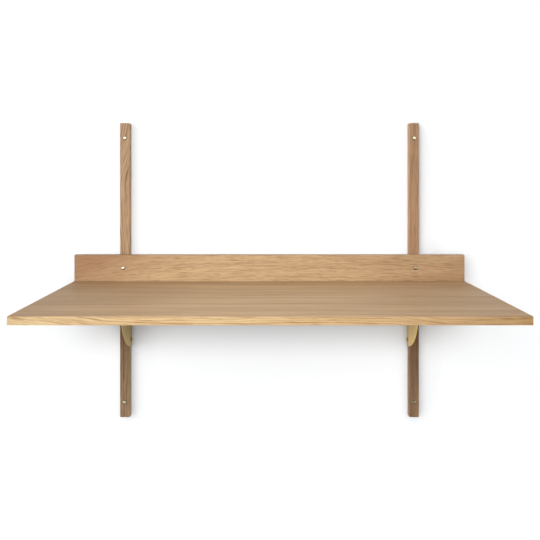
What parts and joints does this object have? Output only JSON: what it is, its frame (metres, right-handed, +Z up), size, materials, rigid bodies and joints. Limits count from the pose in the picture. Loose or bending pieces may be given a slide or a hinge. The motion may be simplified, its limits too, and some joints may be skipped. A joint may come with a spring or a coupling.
{
  "type": "wall desk",
  "caption": "Wall-hung oak desk: a veneered top with a low backboard on two slim uprights, carried by sector-shaped brass brackets and fixed with round-head brass screws.",
  "frame": {"origin": "on the wall plane, at the middle of the rectangle of the four wall screws, which is the middle of the uprights' backs", "axes": "+X to the right along the wall as seen from the room, +Y into the wall, +Z up; the desk's front edge faces -Y"},
  "size_m": [1.14, 0.586, 0.868],
  "materials": {
    "upright_oak": "solid oak, fine sanded, matt oil",
    "backboard_oak": "solid oak, plain sawn, fine sanded, matt lacquer",
    "veneer_oak": "straight-grained oak veneer, matt lacquer",
    "lipping_oak": "solid oak edge, plain sawn, matt lacquer",
    "core_board": "raw wood fibre board",
    "dowel_beech": "raw beech, fluted dowel stock",
    "bracket_brass": "brushed brass sheet, satin",
    "screw_brass": "polished turned brass",
    "joint_screw_steel": "zinc plated steel"
  },
  "bodies": {
    "root": {"left_upright": "upright_oak", "right_upright": "upright_oak", "backboard": "backboard_oak", "desktop_core": "core_board", "desktop_top_veneer": "veneer_oak", "desktop_bottom_veneer": "veneer_oak", "desktop_front_lipping": "lipping_oak", "desktop_left_lipping": "lipping_oak", "desktop_right_lipping": "lipping_oak", "left_bracket": "bracket_brass", "right_bracket": "bracket_brass", "wall_screws": "screw_brass", "backboard_bolts": "screw_brass", "upright_inserts": "screw_brass", "left_bracket_side_screws": "screw_brass", "right_bracket_side_screws": "screw_brass", "left_bracket_top_screws": "screw_brass", "right_bracket_top_screws": "screw_brass", "joint_dowels": "dowel_beech", "joint_screws": "joint_screw_steel"}
  },
  "joints": []
}
